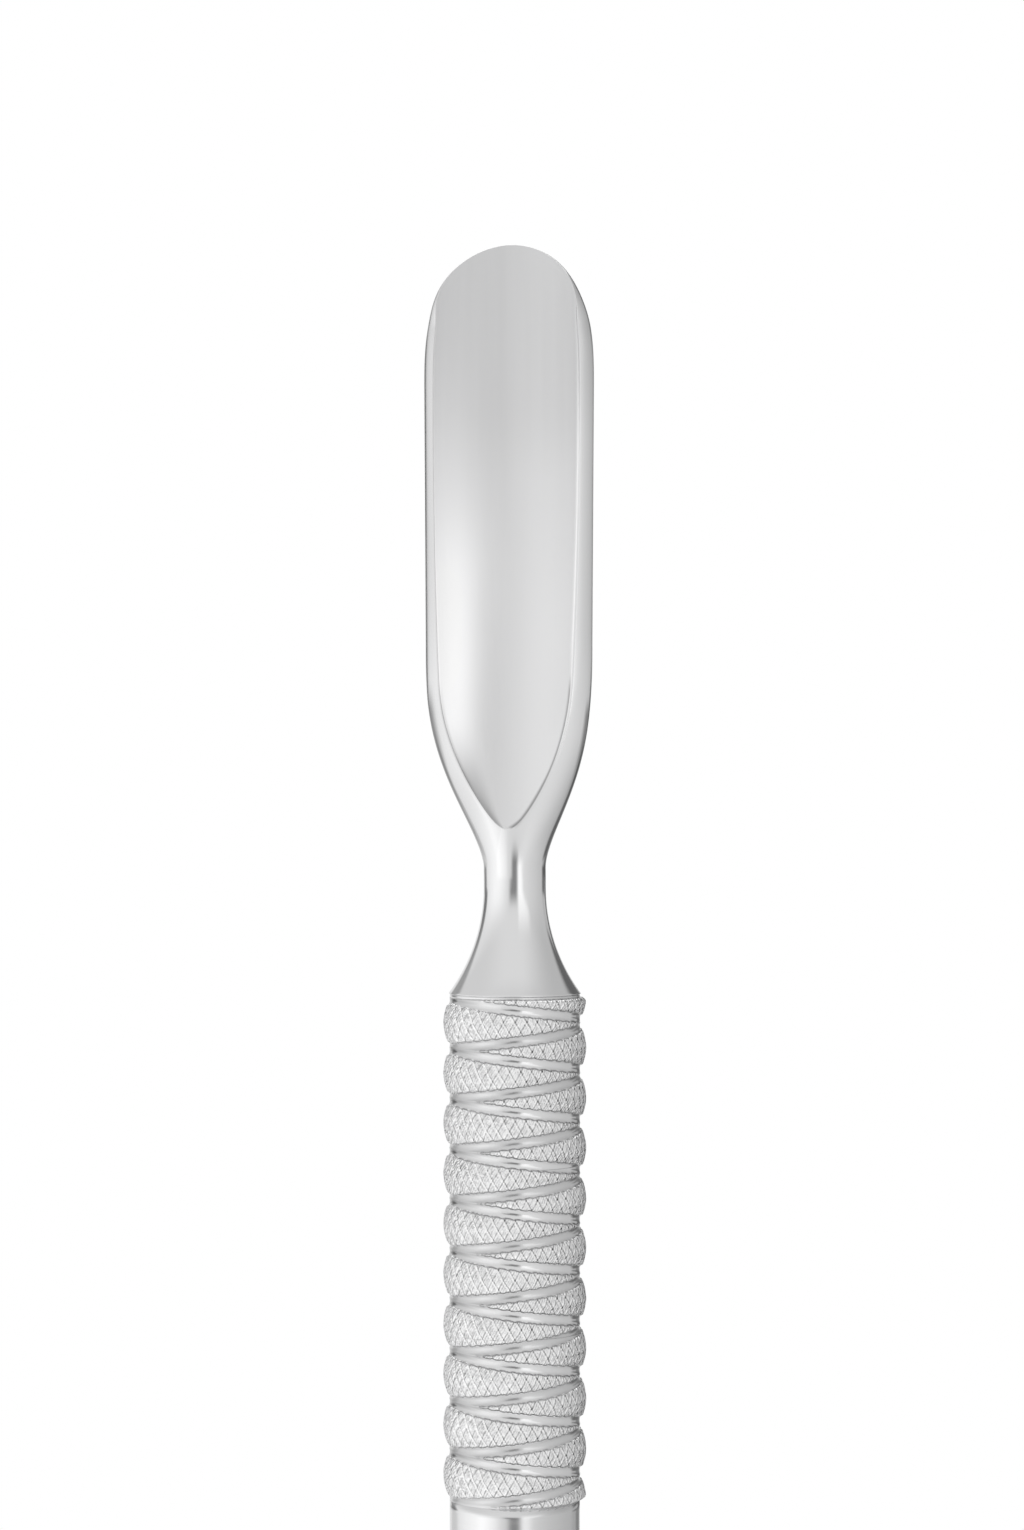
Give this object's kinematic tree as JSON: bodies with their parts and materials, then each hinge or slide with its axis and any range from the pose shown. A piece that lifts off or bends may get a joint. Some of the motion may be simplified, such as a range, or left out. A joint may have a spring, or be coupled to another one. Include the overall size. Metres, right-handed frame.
{
  "type": "cuticle pusher",
  "caption": "Double-ended steel cuticle pusher: round-tipped hollow-ground blade, knurled handle with crossed helical grooves, and a slant-edged scraper.",
  "frame": {"origin": "on the handle's axis, in the middle of the smooth band between the two grooved zones", "axes": "+Z along the handle towards the pusher's round tip; -Y is the side that the pusher's hollow face looks to; +X is across the blade"},
  "size_m": [0.009, 0.0074, 0.1388],
  "materials": {
    "knurled_steel": "diamond-knurled lands, polished grooves and a fine-turned middle band",
    "polished_steel": "polished, with a fine-brushed hollow face",
    "scraper_steel": "polished"
  },
  "bodies": {
    "root": {"handle_tube": "knurled_steel", "pusher_head": "polished_steel", "scraper_head": "scraper_steel"}
  },
  "joints": []
}
